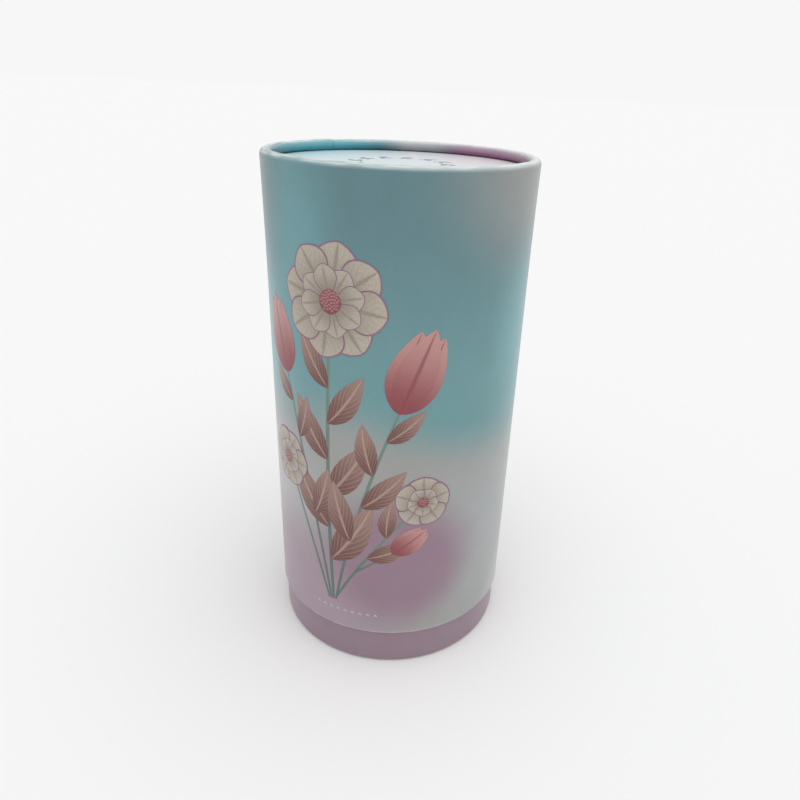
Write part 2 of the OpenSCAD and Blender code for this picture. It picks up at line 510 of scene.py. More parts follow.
def airbrushed(tree, at):
    """The ground's colour at a place on the box."""
    spot = add(tree, SPLIT_XYZ, at).node.outputs
    climb = add(tree, RANGE, spot["Z"], *SKY_FADES, interpolation_type="SMOOTHSTEP")
    ground = add(tree, MIX, climb, linear(SKY_LOW), linear(SKY_TOP), data_type="RGBA")
    tilted = add(tree, MATH, spot["X"], HORIZON_TILT, spot["Z"], operation="MULTIPLY_ADD")
    above = add(tree, RANGE, tilted, *HORIZON_FADES, interpolation_type="SMOOTHSTEP")
    ground = add(tree, MIX, above, linear(HORIZON), ground, data_type="RGBA")
    for name, colour, middle, radii, full_at in CLOUDS:
        in_ball = add(tree, "ShaderNodeMapping", at, [c * MM for c in middle], None,
                      [r * MM for r in radii], vector_type="TEXTURE")
        ball = add(tree, "ShaderNodeTexGradient", in_ball, gradient_type="SPHERICAL")
        strength = add(tree, RANGE, ball.node.outputs["Fac"], 0.0, full_at,
                       interpolation_type="SMOOTHSTEP")
        ground = add(tree, MIX, strength, ground, linear(colour), data_type="RGBA")
        ground.node.label = name
    return ground


print(len(CLOUDS), "clouds of ink over sky and horizon")

# %% [markdown]
# ## Wear, painted shade and a painted highlight on the printed paper
#
# Four places are marked on the paper, and a few dark specks of dust that the film has caught are
# spread over the rest. At the sleeve's lower edge the knife has bared a hair of white. At the lap a
# fine dark line of painted shade runs from rim to foot along the upper sheet's cut edge. On top of
# the rolled rim a white highlight is painted, and in the fold beside the disc shade is painted by
# darkening the ink. All four stay with the sheet wherever it bends, so they are placed on its own
# unrolled map. Each of them is a small function that takes the colour so far and gives it back
# changed.

# %% Specks, bared edge and the lap's painted shade
DUST, BARE_PAPER = "3E4248", "D8D2D6"
SPECK_SPACING, SPECK_REACH, SPECK_STRENGTH = 14 * MM, 0.3 * MM, 0.4
BARE_EDGE, CHAFE_STEP = 0.6 * MM, 5 * MM
CHAFE_SPAN, CHAFE_WHITE = (0.35, 0.65), (0.08, 0.34)
# The lap line is painted shade along the step of the upper sheet's edge.
LAP_LINE, LAP_STRENGTH = 0.22 * MM, 0.55


def sheet_place(tree):
    """Metres round the sheet and metres from its cut edge."""
    sheet_at = add(tree, "ShaderNodeUVMap", uv_map="unrolled")
    return add(tree, SPLIT_XYZ, sheet_at).node.outputs[:2]


def specked(tree, at, colour):
    """A colour with small dark specks scattered in a loose net of cells."""
    nearest = add(tree, "ShaderNodeTexVoronoi", at, 1 / SPECK_SPACING).node
    reach_in_cell = SPECK_REACH / SPECK_SPACING
    speck = add(tree, RANGE, nearest.outputs["Distance"], 0.4 * reach_in_cell, reach_in_cell,
                SPECK_STRENGTH, 0.0)
    return add(tree, MIX, speck, colour, linear(DUST), data_type="RGBA")


def bared(tree, at, from_edge, colour):
    """A colour that gives way to bare paper along the cut edge, more in some places."""
    handled = add(tree, NOISE, at, 1 / CHAFE_STEP, 2.0, 0.6)
    at_edge = add(tree, RANGE, from_edge, 0.3 * BARE_EDGE, BARE_EDGE, 1.0, 0.0)
    chafed = add(tree, RANGE, handled, *CHAFE_SPAN, *CHAFE_WHITE)
    edge = add(tree, MATH, at_edge, chafed, operation="MULTIPLY")
    return add(tree, MIX, edge, colour, linear(BARE_PAPER), data_type="RGBA")


def lap_shade_line(tree, along, lap_at, shade_colour, colour):
    """A colour with a fine dark line of painted shade along a lap's step, at this many metres round
    the sheet.
    """
    past_line = add(tree, MATH, along, lap_at, operation="SUBTRACT")
    off_line = add(tree, MATH, past_line, operation="ABSOLUTE")
    line = add(tree, RANGE, off_line, 0.4 * LAP_LINE, LAP_LINE, LAP_STRENGTH, 0.0)
    return add(tree, MIX, line, colour, linear(shade_colour), data_type="RGBA")


print("bared edge", BARE_EDGE / MM, "mm, lap line", LAP_LINE / MM, "mm")

# %% [markdown]
# ### Painted shade in the fold and a painted highlight on the crest
#
# In the fold, shade is painted: the ink is made darker and purer, its colour times itself, as
# light going from paper to paper would make it. On the crest a white highlight is painted. It lies
# in short streaks that run round the rim, and less so on the left.

# %% Painted shade in the fold and painted highlight on the crest
SLEEVE_WALL = 182.8 * MM
CREST_TURN = math.radians(83)
CREST_RUN = SLEEVE_WALL - ROLL / 2 + ROLL / 2 * CREST_TURN
# The crest's white streaks are a painted highlight.
CREST_FULL, CREST_ENDS = 0.6 * MM, 2.9 * MM
CREST_LEFT, CREST_RIGHT = -46 * MM, 4 * MM
LEAST_ON_LEFT, LEAST_ON_RIGHT, MOST_WHITE = 0.3, 0.66, 0.95
STREAK_LENGTH, STREAK_WIDTH, STREAK_SPAN = 8 * MM, 0.8 * MM, (0.42, 0.68)
CREST_HIGHLIGHT = "E2E9E9"
# The fold's darkening is painted shade.
FOLD_STARTS, FOLD_FULL = 2.9 * MM, 4.5 * MM
FOLD_SHADE_STRENGTH, FOLD_LIGHT = 0.9, 1.7


def fold_painted_shade(tree, from_edge, colour):
    """A colour with painted shade: darker and purer in the fold."""
    in_fold = add(tree, RANGE, from_edge, CREST_RUN + FOLD_STARTS, CREST_RUN + FOLD_FULL, 0.0,
                  FOLD_SHADE_STRENGTH, interpolation_type="SMOOTHSTEP")
    twice = add(tree, VECTOR_MATH, colour, colour, operation="MULTIPLY")
    fold_shade_colour = add(tree, VECTOR_MATH, twice, operation="SCALE")
    fold_shade_colour.node.inputs["Scale"].default_value = FOLD_LIGHT
    return add(tree, MIX, in_fold, colour, fold_shade_colour, data_type="RGBA")


def crest_painted_highlight(tree, at, from_edge, colour):
    """A colour with a painted highlight: white streaks along the crest of the roll."""
    past_crest = add(tree, MATH, from_edge, CREST_RUN, operation="SUBTRACT")
    off_crest = add(tree, MATH, past_crest, operation="ABSOLUTE")
    highlight_band = add(tree, RANGE, off_crest, CREST_FULL, CREST_ENDS, 1.0, 0.0,
                    interpolation_type="SMOOTHSTEP")
    spot = add(tree, SPLIT_XYZ, at).node.outputs
    streak_at = add(tree, JOIN_XYZ,
                    add(tree, MATH, spot["X"], STREAK_LENGTH, operation="DIVIDE"),
                    add(tree, MATH, spot["Y"], STREAK_LENGTH, operation="DIVIDE"),
                    add(tree, MATH, from_edge, STREAK_WIDTH, operation="DIVIDE"))
    streaks = add(tree, NOISE, streak_at, 1.0, 1.0, 0.5)
    least = add(tree, RANGE, spot["X"], CREST_LEFT, CREST_RIGHT, LEAST_ON_LEFT, LEAST_ON_RIGHT)
    uneven = add(tree, RANGE, streaks, *STREAK_SPAN, least, MOST_WHITE)
    white = add(tree, MATH, uneven, highlight_band, operation="MULTIPLY")
    return add(tree, MIX, white, colour, linear(CREST_HIGHLIGHT), data_type="RGBA")


print(f"the crest lies {CREST_RUN / MM:.1f} mm up the sheet")

# %% [markdown]
# ### The printed paper put together
#
# Art paper is coated with chalk and pressed smooth, so little of its fibre shows, and the satin
# film gives it one soft shine. Dust lies under the wear, and the crest's painted highlight comes
# last, on top of all the ink.

# %% The printed paper
# The lap's dark line is painted shade.
LAP_AT, LAP_SHADE = math.radians(127.5), "35484C"


def print_with_wear_and_painted_light(tree, at):
    """The ground with its specks and bared edge, painted shade at the lap and in the fold, and a
    painted highlight on the crest.
    """
    along, from_edge = sheet_place(tree)
    colour = specked(tree, at, airbrushed(tree, at))
    colour = bared(tree, at, from_edge, colour)
    colour = lap_shade_line(tree, along, LAP_AT * BOX_RADIUS, LAP_SHADE, colour)
    return crest_painted_highlight(tree, at, from_edge, fold_painted_shade(tree, from_edge, colour))


printed_paper = paper("satin_laminated_art_paper", print_with_wear_and_painted_light, SATIN_FILM, fibre=0.05)

# %% [markdown]
# ## The base's lilac paper
#
# The base shows only its foot until the sleeve comes off. Above that, the sleeve has slid over it
# again and again, and its film carries faint upright rub marks, stretched a hundred times along the
# way that the sleeve travels. Its own lap is at the back, and its mouth has worn a little pale.

# %% The lilac paper
# The dark line at the base's lap is painted shade.
LILAC, RUBBED_LILAC, LILAC_LAP_SHADE = "917B88", "C3B6BE", "4E4049"
BASE_RADIUS = 48.9 * MM
BASE_LAP_AT = math.radians(62)
FOOT_SHOW = 17.2 * MM
RUB_WIDTH, RUB_LENGTH, RUB_SPAN, RUB_STRENGTH = 1.1 * MM, 110 * MM, (0.5, 0.78), 0.11
MOUTH_WEAR, MOUTH_STRENGTH = 0.9 * MM, 0.45


def slid_lilac(tree, at):
    """The lilac with the sleeve's rub marks, the worn mouth and the lap's line of painted shade."""
    along, from_edge = sheet_place(tree)
    height_here = add(tree, SPLIT_XYZ, at).node.outputs["Z"]
    rub_at = add(tree, JOIN_XYZ, add(tree, MATH, along, RUB_WIDTH, operation="DIVIDE"),
                 add(tree, MATH, from_edge, RUB_LENGTH, operation="DIVIDE"), 0.0)
    rubs = add(tree, NOISE, rub_at, 1.0, 2.0, 0.6)
    marked = add(tree, RANGE, rubs, *RUB_SPAN, 0.0, RUB_STRENGTH)
    under_sleeve = add(tree, RANGE, height_here, FOOT_SHOW, 2 * FOOT_SHOW)
    rubbed = add(tree, MATH, marked, under_sleeve, operation="MULTIPLY")
    colour = add(tree, MIX, rubbed, linear(LILAC), linear(RUBBED_LILAC), data_type="RGBA")
    at_mouth = add(tree, RANGE, from_edge, 0.2 * MOUTH_WEAR, MOUTH_WEAR, MOUTH_STRENGTH, 0.0)
    colour = add(tree, MIX, at_mouth, colour, linear(BARE_PAPER), data_type="RGBA")
    return lap_shade_line(tree, along, BASE_LAP_AT * BASE_RADIUS, LILAC_LAP_SHADE, colour)


lilac_paper = paper("satin_laminated_lilac_paper", slid_lilac, SATIN_FILM, fibre=0.05)

# %% [markdown]
# ## The disc's face
#
# The disc that closes the top wears the same coated paper, printed almost white. It leans to the
# blue of the sky on the left and to rose on the right, so the eye reads it as part of the print.

# %% The disc paper
TINT_REACH = 40 * MM
BLUE_WHITE, ROSE_WHITE = "C6DEE3", "DDD7DC"


def disc_tint(tree, at):
    """Blue white on the left, rose white on the right."""
    to_right = add(tree, SPLIT_XYZ, at).node.outputs["X"]
    lean = add(tree, RANGE, to_right, -TINT_REACH, TINT_REACH, interpolation_type="SMOOTHSTEP")
    return add(tree, MIX, lean, linear(BLUE_WHITE), linear(ROSE_WHITE), data_type="RGBA")


disc_paper = paper("satin_laminated_disc_paper", disc_tint, SATIN_FILM)

# %% [markdown]
# ## The sleeve's plies
#
# Three plies make the sleeve: printed paper outside, board in the middle and white lining inside.
# Each starts at the depth where the one outside it ends. Only the printed paper is seen up close,
# so it alone gets creases, a lap, a lip and fine columns.

# %% The sleeve's plies
SLEEVE_BOARD, LINING_PLY = 0.55 * MM, 0.1 * MM
RIM_FLARE = 0.41 * MM

sleeve = {"Radius": BOX_RADIUS, "Wall Height": SLEEVE_WALL, "Cut Edge Z": FOOT_SHOW,
          "Wall Rows": 24, "Rim Flare": RIM_FLARE}
sleeve_wrap = grow("printed_sleeve_paper", wall, {
    **sleeve, "Thickness": PAPER_PLY, "Segments": 720, "Roll Rows": 28, "Lap Angle": LAP_AT,
    "Lap Step": PAPER_PLY, "Crease Depth": 0.06 * MM, "Lip Depth": 0.1 * MM}, printed_paper)
sleeve_board = grow("sleeve_board_wall", wall, {
    **sleeve, "Depth": PAPER_PLY, "Thickness": SLEEVE_BOARD}, grey_board)
sleeve_lining = grow("sleeve_lining_paper", wall, {
    **sleeve, "Depth": PAPER_PLY + SLEEVE_BOARD, "Thickness": LINING_PLY}, white_paper)

# %% [markdown]
# ## The base's plies
#
# The base is the same kind of wall upside down: its cut edge is the mouth, and its roll is the
# foot. The wall is a hair longer than the base is tall, and that hair is what the foot is pressed
# flat by. Each wall then takes the place of its CAD solid and rides on its body.

# %% The base's plies
BASE_BOARD = 0.9 * MM
MOUTH_Z, PRESSED = 194 * MM, 0.05 * MM

base = {"Radius": BASE_RADIUS, "Wall Height": MOUTH_Z + PRESSED, "Cut Edge Z": MOUTH_Z,
        "Direction": -1.0, "Lowest Z": 0.0}
base_wrap = grow("lilac_base_paper", wall, {
    **base, "Thickness": PAPER_PLY, "Segments": 480, "Wall Rows": 14, "Roll Rows": 28,
    "Lap Angle": BASE_LAP_AT, "Lap Step": PAPER_PLY, "Crease Depth": 0.05 * MM}, lilac_paper)
base_board = grow("base_board_wall", wall, {
    **base, "Depth": PAPER_PLY, "Thickness": BASE_BOARD}, grey_board)
base_lining = grow("base_lining_paper", wall, {
    **base, "Depth": PAPER_PLY + BASE_BOARD, "Thickness": LINING_PLY}, white_paper)

for piece, node, body, finish in (
        (sleeve_wrap, "lid_wrap", "lid", "printed_paper"),
        (sleeve_board, "lid_tube", "lid", "wound_board"),
        (sleeve_lining, "lid_lining", "lid", "white_lining"),
        (base_wrap, "base_wrap", "base", "lilac_paper"),
        (base_board, "base_tube", "base", "wound_board"),
        (base_lining, "base_lining", "base", "white_lining")):
    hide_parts(node)
    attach(piece, body)

# %% [markdown]
# ## The discs
#
# Discs and the papers on them are punched flat, and their CAD solids are already exactly that. So
# these solids stay, and only get their real finish: grey board, white paper, or the disc's print.

# %% The discs
for node, finish in (("lid_disc", grey_board), ("lid_disc_print", disc_paper),
                     ("lid_disc_lining", white_paper), ("base_disc", grey_board),
                     ("base_disc_cover", white_paper), ("base_floor_lining", white_paper)):
    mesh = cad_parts[node].data
    mesh.materials.clear()
    mesh.materials.append(finish)
    print(f"{node}: {finish.name}")

# %% [markdown]
# ## Petals as a tree
#
# The picture printed on the sleeve is a bouquet, drawn for this box. Every mark in it, be it a
# petal, a leaf, a bud, a stem or a seed, is the same thing: a strip that starts at a root, runs
# some way in some direction, bends a little, and swells by a sine. So one tree draws them all. It
# puts a small grid at each root, shapes it by the numbers that the root carries, and wraps it
# round the box. The ink stands up to a fifth of a millimetre proud, as raised varnish does, and
# each mark reaches down into the paper, so that it is a closed body and not a floating skin.

# %% A small grid at each root
petal_sizes = {"Rows": 14, "Columns": 6, "Belly": 1.0, "Fullness": 1.0, "Wrap Radius": 0.0,
               "Level": 0.0, "Lift": 0.03 * MM, "Layer Step": 0.008 * MM, "Sunk": 0.01 * MM,
               "Flare": 0.0, "Flare From": 150 * MM, "Flare To": 200 * MM}
petal, size = open_tree("printed_petals", petal_sizes, takes_geometry=True)

position = add(petal, "GeometryNodeInputPosition")
roots = add(petal, "GeometryNodeStoreNamedAttribute", size["Geometry"], None, "root", position,
            data_type="FLOAT_VECTOR", domain="POINT")
grid = add(petal, "GeometryNodeMeshGrid", 1.0, 1.0,
           add(petal, MATH, size["Columns"], 1.0, operation="ADD"),
           add(petal, MATH, size["Rows"], 1.0, operation="ADD"))

# The rows are crowded at both ends by a sine, where a petal's outline turns fastest.
grid_xyz = add(petal, SPLIT_XYZ, position).node.outputs
quarter_turn = add(petal, MATH, grid_xyz["Y"], math.pi, operation="MULTIPLY")
crowding = add(petal, MATH, quarter_turn, operation="SINE")
crowded_y = add(petal, MATH, crowding, 0.5, operation="MULTIPLY")
crowded_grid = add(petal, "GeometryNodeSetPosition", grid, None,
                   add(petal, JOIN_XYZ, grid_xyz["X"], crowded_y, 0.0))

# Each grid keeps its own map: side from -1 to 1, and way from root 0 to tip 1.
side_and_way = add(petal, VECTOR_MATH, position, (2.0, 1.0, 0.0), (0.0, 0.5, 0.0),
                   operation="MULTIPLY_ADD")
mapped_grid = add(petal, "GeometryNodeStoreNamedAttribute", crowded_grid, None, "petal",
                  side_and_way, data_type="FLOAT2", domain="CORNER")
planted = add(petal, "GeometryNodeInstanceOnPoints", roots, None, mapped_grid)
loose = add(petal, "GeometryNodeRealizeInstances", planted)
print(len(petal_sizes), "named sizes,", len(petal.nodes), "nodes for the grids")

# %% [markdown]
# ### The outline of a mark
#
# Sizes of the whole layer say how the sine is shaped: a high belly puts the widest place nearer
# the tip, and a low fullness makes the ends blunt. The root's own numbers say how long and wide
# this mark is, how far it bends and which way it points.

# %% The outline of a mark
carried = {name: add(petal, "GeometryNodeInputNamedAttribute", name, data_type="FLOAT")
           for name in ("turn", "length", "width", "bend", "layer")}
root = add(petal, "GeometryNodeInputNamedAttribute", "root", data_type="FLOAT_VECTOR")
local = add(petal, VECTOR_MATH, position, root, operation="SUBTRACT")
local_xyz = add(petal, SPLIT_XYZ, local).node.outputs
share = add(petal, MATH, local_xyz["Y"], 0.5, operation="ADD")

from_root = add(petal, MATH, share, 0.0, operation="MAXIMUM")
bellied = add(petal, MATH, from_root, size["Belly"], operation="POWER")
half_turn = add(petal, MATH, bellied, math.pi, operation="MULTIPLY")
sine = add(petal, MATH, half_turn, operation="SINE")
wave = add(petal, MATH, sine, 0.0, operation="MAXIMUM")
outline = add(petal, MATH, wave, size["Fullness"], operation="POWER")

breadth = add(petal, MATH, outline, carried["width"], operation="MULTIPLY")
to_side = add(petal, MATH, local_xyz["X"], breadth, operation="MULTIPLY")
to_tip = add(petal, MATH, share, carried["length"], operation="MULTIPLY")
bend_grows = add(petal, MATH, share, to_tip, operation="MULTIPLY")
bent_side = add(petal, MATH, bend_grows, carried["bend"], to_side, operation="MULTIPLY_ADD")
flat_mark = add(petal, JOIN_XYZ, bent_side, to_tip, 0.0)
spin = add(petal, MATH, carried["turn"], -1.0, operation="MULTIPLY")
turned_mark = add(petal, "ShaderNodeVectorRotate", flat_mark, (0, 0, 0), spin,
                  rotation_type="Z_AXIS")
on_sheet = add(petal, VECTOR_MATH, turned_mark, root, operation="ADD")
sheet_xyz = add(petal, SPLIT_XYZ, on_sheet).node.outputs
print("outlines:", len(petal.nodes), "nodes so far")

# %% [markdown]
# ### Round the sleeve, or flat on the disc
#
# A print lies on what carries it. On the sleeve the drawing's width becomes an angle, and near the
# rim it follows the wall's flare, or the paper would cover it. On the disc it just lies at a level.
# Both start a hundredth of a millimetre down in the paper.

# %% Laying the marks down
flare_way = add(petal, RANGE, sheet_xyz["Y"], size["Flare From"], size["Flare To"])
flare_way_square = add(petal, MATH, flare_way, 2.0, operation="POWER")
paper_radius = add(petal, MATH, flare_way_square, size["Flare"], size["Wrap Radius"],
                   operation="MULTIPLY_ADD")
wrap_radius = add(petal, MATH, paper_radius, size["Sunk"], operation="SUBTRACT")
bearing = add(petal, MATH, sheet_xyz["X"], size["Wrap Radius"], operation="DIVIDE")
sin_bearing = add(petal, MATH, bearing, operation="SINE")
cos_bearing = add(petal, MATH, bearing, operation="COSINE")
to_right = add(petal, MATH, sin_bearing, wrap_radius, operation="MULTIPLY")
to_front = add(petal, MATH, cos_bearing, wrap_radius, operation="MULTIPLY")
to_back = add(petal, MATH, to_front, -1.0, operation="MULTIPLY")
wrapped = add(petal, JOIN_XYZ, to_right, to_back, sheet_xyz["Y"])

bottom = add(petal, MATH, size["Level"], size["Sunk"], operation="SUBTRACT")
lying = add(petal, JOIN_XYZ, sheet_xyz["X"], sheet_xyz["Y"], bottom)
is_wrapped = add(petal, MATH, size["Wrap Radius"], 0.0, operation="GREATER_THAN")
final_place = add(petal, "GeometryNodeSwitch", is_wrapped, lying, wrapped, input_type="VECTOR")
shaped = add(petal, "GeometryNodeSetPosition", loose, None, final_place)
closed_tips = add(petal, "GeometryNodeMergeByDistance", shaped, None, WELD)
print("marks laid down:", len(petal.nodes), "nodes so far")

# %% [markdown]
# ### The thickness of ink
#
# Ink on the box is a body with a top, a rim and an underside. Each mark is drawn out of the paper
# to the height of its layer, and a copy of it, turned over, closes it from below.

# %% The thickness of ink
first_height = add(petal, MATH, size["Lift"], size["Sunk"], operation="ADD")
ink_height = add(petal, MATH, carried["layer"], size["Layer Step"], first_height,
                 operation="MULTIPLY_ADD")
drawn_out = add(petal, "GeometryNodeExtrudeMesh", closed_tips, None, None, ink_height, False)
underside = add(petal, "GeometryNodeFlipFaces", closed_tips)
ink_body = add(petal, "GeometryNodeJoinGeometry", drawn_out)
petal.links.new(underside, ink_body.node.inputs[0])
whole = add(petal, "GeometryNodeMergeByDistance", ink_body, None, WELD)
end_tree(petal, whole, size["Material"])

# %% [markdown]
# ## Inks
#
# Printed flowers look flat when each petal is one colour. A lithographer shades a petal from its
# throat to its tip, rubs in a rib and lets the screen's grain show. Here the two coordinates of
# each petal, across and along, drive the same three moves. The grain of a real screen is about
# 0.1 mm, and it is drawn at 0.45 mm so that it shows.

# %% Ink as a finish
SCREEN_STEP = 0.45 * MM
RIB_FULL, RIB_ENDS = 0.03, 0.16  # shares of a petal's half width
RIB_STRENGTH = 0.75
SIDE_RIB_SLANT, SIDE_RIB_BEAT = -0.45, 44.0  # the beat draws seven side ribs on a petal


def ink(name, throat, tip, rib, grain=0.06, ribs=0.0):
    """A printed ink under the satin film, shaded from throat to tip with a rib in the middle."""
    def shaded(tree, at):
        """The ink's colour at a place on the petal."""
        petal_at = add(tree, "ShaderNodeUVMap", uv_map="petal")
        side, way = add(tree, SPLIT_XYZ, petal_at).node.outputs[:2]
        climb = add(tree, RANGE, way, 0.05, 0.95, interpolation_type="SMOOTHSTEP")
        colour = add(tree, MIX, climb, linear(throat), linear(tip), data_type="RGBA")
        off_rib = add(tree, MATH, side, operation="ABSOLUTE")
        on_rib = add(tree, RANGE, off_rib, RIB_FULL, RIB_ENDS, RIB_STRENGTH, 0.0)
        slanted = add(tree, MATH, off_rib, SIDE_RIB_SLANT, way, operation="MULTIPLY_ADD")
        beat_at = add(tree, MATH, slanted, SIDE_RIB_BEAT, operation="MULTIPLY")
        beat = add(tree, MATH, beat_at, operation="SINE")
        side_ribs = add(tree, RANGE, beat, 0.55, 1.0, 0.0, ribs)
        drawn_ribs = add(tree, MATH, on_rib, side_ribs, operation="MAXIMUM")
        colour = add(tree, MIX, drawn_ribs, colour, linear(rib), data_type="RGBA")
        screen = add(tree, NOISE, at, 1 / SCREEN_STEP, 1.0, 0.5)
        speckle = add(tree, RANGE, screen, *NOISE_SPAN, 1 - grain, 1 + grain)
        result = add(tree, VECTOR_MATH, colour, operation="SCALE")
        tree.links.new(speckle, result.node.inputs["Scale"])
        return result

    return paper(name, shaded, SATIN_FILM)


rose_ink = ink("dusty_rose_printing_ink", "6A413C", "977A70", "B79C92", ribs=0.35)
coral_ink = ink("coral_printing_ink", "8C444B", "BC8C88", "84404A")
cream_ink = ink("cream_printing_ink", "8D8074", "B3AA9C", "8A7C72", grain=0.1, ribs=0.22)
edge_ink = ink("plum_outline_ink", "7A5468", "8E6B80", "7A5468")
heart_ink = ink("wine_printing_ink", "7B4650", "8A5660", "7B4650")
stem_ink = ink("muted_green_printing_ink", "5D6F68", "76877F", "5D6F68")
seed_ink = ink("pale_seed_printing_ink", "B7AAB2", "C4B8BF", "B7AAB2")
slate_ink = ink("slate_printing_ink", "66707A", "7C858E", "66707A")

# %% [markdown]
# ## Drawing the bouquet
#
# The bouquet is laid out on the unrolled sleeve: millimetres to the right of the front middle, and
# millimetres above the table. A mark is written down as root, turn from upright, length, width,
# bend and layer. Small functions write whole flowers, so that the drawing stays readable. It starts
# with the stems, because flowers and leaves hang on them at a share of their length.

# %% Marks and stems
def mark(across, up, turn, length, width, bend=0.0, layer=0):
    """One printed mark: mm, mm, degrees from upright, mm, mm, share of length, layer."""
    return (across, up, turn, length, width, bend, layer)


def on_stem(stem, share_along):
    """The point and direction at a share of a stem's length."""
    across, up, turn, length, _, bend, _ = stem
    lean = math.radians(turn)
    along_it = share_along * length
    aside = bend * length * share_along ** 2
    return (across + along_it * math.sin(lean) + aside * math.cos(lean),
            up + along_it * math.cos(lean) - aside * math.sin(lean),
            turn + math.degrees(math.atan(2 * bend * share_along)))


main_stem = mark(-24, 30, -3, 126, 1.6, 0.06)
left_stem = mark(-25, 30, -9, 100, 1.3, -0.06)
right_stem = mark(-23, 30, 10, 94, 1.3, 0.10)
low_stem = mark(-23, 31, 26, 60, 1.2, 0.15)
small_stem = mark(-26, 30, -15, 62, 1.2, -0.10)
bud_stem = mark(*on_stem(low_stem, 0.3)[:2], 51, 19, 1.0, 0.05)
stems = [main_stem, left_stem, right_stem, low_stem, small_stem, bud_stem]
print(len(stems), "stems, the tallest ends", round(on_stem(main_stem, 1.0)[1]), "mm up")

# %% [markdown]
# ### Flowers and buds
#
# A ring of petals, a heart's seeds and a bud are each a rule, so each is a small function. Real
# seeds are packed by the golden angle, which never lets two of them line up. A bud is a closed
# flower seen from the side. Layers keep crossing petals at different heights.

# %% Blooms, seeds and buds
HOLLOW = 0.12  # share of a flower's radius where its petals start
GOLDEN_ANGLE = 137.508


def bloom(across, up, radius, petals, breadth, first_turn):
    """Petals round a middle."""
    marks = []
    start = HOLLOW * radius
    for k in range(petals):
        turn = first_turn + 360 * k / petals
        lean = math.radians(turn)
        marks.append(mark(across + start * math.sin(lean), up + start * math.cos(lean), turn,
                          radius - start, breadth, layer=k % 3))
    return marks


def seeds(across, up, radius, count, dot):
    """Seeds spread evenly over a round heart."""
    marks = []
    for k in range(count):
        lean = math.radians(k * GOLDEN_ANGLE)
        out = radius * math.sqrt((k + 0.5) / count)
        marks.append(mark(across + out * math.sin(lean), up + out * math.cos(lean) - dot / 2, 0.0,
                          dot, dot))
    return marks


def bud(across, up, turn, length, width):
    """A closed flower: two side petals behind a middle one, rooted side by side."""
    return [mark(across - 0.3, up, turn - 15, length * 0.93, width * 0.6, 0.13, 0),
            mark(across + 0.3, up, turn + 15, length * 0.93, width * 0.6, -0.13, 1),
            mark(across, up - 0.3, turn, length, width * 0.62, 0.0, 3)]


print("a bud's marks:", bud(0, 0, 0, 20, 12))

# %% [markdown]
# ### Flower heads
#
# Three open flowers end three stems. Each is a ring of petals, a smaller ring on it and a heart
# full of seeds. Buds end the other stems, and one leans a little off its own.

# %% Flower heads
large = (*on_stem(main_stem, 1.0)[:2], 20.0)
small = (*on_stem(small_stem, 1.0)[:2], 12.0)
little = (*on_stem(low_stem, 1.0)[:2], 10.5)
cream_marks = bloom(*large, 8, 14.5, 10) + bloom(*small, 6, 11.0, 30) + bloom(*little, 5, 11.2, 0)
cream_inner = (bloom(*large[:2], 12.5, 8, 8.6, 32.5) + bloom(*small[:2], 7.2, 6, 6.4, 0)
               + bloom(*little[:2], 6.0, 5, 6.0, 36))
hearts = [mark(across, up - radius, 0, 2 * radius, 2 * radius)
          for across, up, radius in ((*large[:2], 4.3), (*small[:2], 2.7), (*little[:2], 2.3))]
seed_marks = (seeds(*large[:2], 3.7, 38, 1.0) + seeds(*small[:2], 2.2, 16, 0.9)
              + seeds(*little[:2], 1.8, 12, 0.8))
coral_marks = (bud(*on_stem(right_stem, 0.97), 33, 23) + bud(*on_stem(left_stem, 0.97), 29, 20)
               + bud(*on_stem(bud_stem, 0.97)[:2], 50, 17, 12))
print(len(cream_marks + cream_inner), "petals,", len(seed_marks), "seeds,",
      len(coral_marks), "petals of buds")

# %% [markdown]
# ### Leaves, outlines and the row at the foot
#
# Leaves leave a stem by turns left and right. A petal's outline is the same petal a little larger,
# printed under it. A row of small slanted marks finishes the foot, as a plain border does.

# %% Leaves, outlines and the row at the foot
LEAF_BEND = 0.16


def leaves_on(stem, shares, length, width, spread, first_side, first_layer):
    """Leaves of a stem, shorter towards its tip. Each stem has layers of its own, so that no two
    leaves which cross lie at one height."""
    marks = []
    side = first_side
    for number, share_along in enumerate(shares):
        across, up, turn = on_stem(stem, share_along)
        size_here = length * (1.1 - 0.55 * share_along)
        marks.append(mark(across, up, turn + side * spread, size_here,
                          width * size_here / length, -side * LEAF_BEND,
                          first_layer + number % 3))
        side = -side
    return marks


def outlined(marks, rim):
    """The same marks a little larger, to print under them as an outline."""
    return [mark(a - rim * math.sin(math.radians(t)), u - rim * math.cos(math.radians(t)), t,
                 length + 2 * rim, w + 2.4 * rim, b, layer)
            for a, u, t, length, w, b, layer in marks]


rose_marks = (leaves_on(low_stem, (0.45, 0.66, 0.86), 23, 9.5, 40, 1, 0)
              + leaves_on(main_stem, (0.16, 0.28, 0.4, 0.52, 0.64, 0.75), 33, 13, 42, 1, 3)
              + leaves_on(left_stem, (0.4, 0.56, 0.72, 0.86), 26, 10.5, 38, 1, 6)
              + leaves_on(right_stem, (0.34, 0.52, 0.68, 0.84), 29, 11.5, 38, -1, 9))
foot_row = [mark(-34 + 1.6 * k, 25.2, 38 if k % 2 else -38, 1.5, 0.6) for k in range(19)]
print(len(rose_marks), "leaves and", len(foot_row), "slanted marks")

# %% [markdown]
# ## Printing it
#
# A printer lays one ink after the other, and so does this table. Each line is one plate: its marks,
# its ink, the shape of its sine and how high it stands.

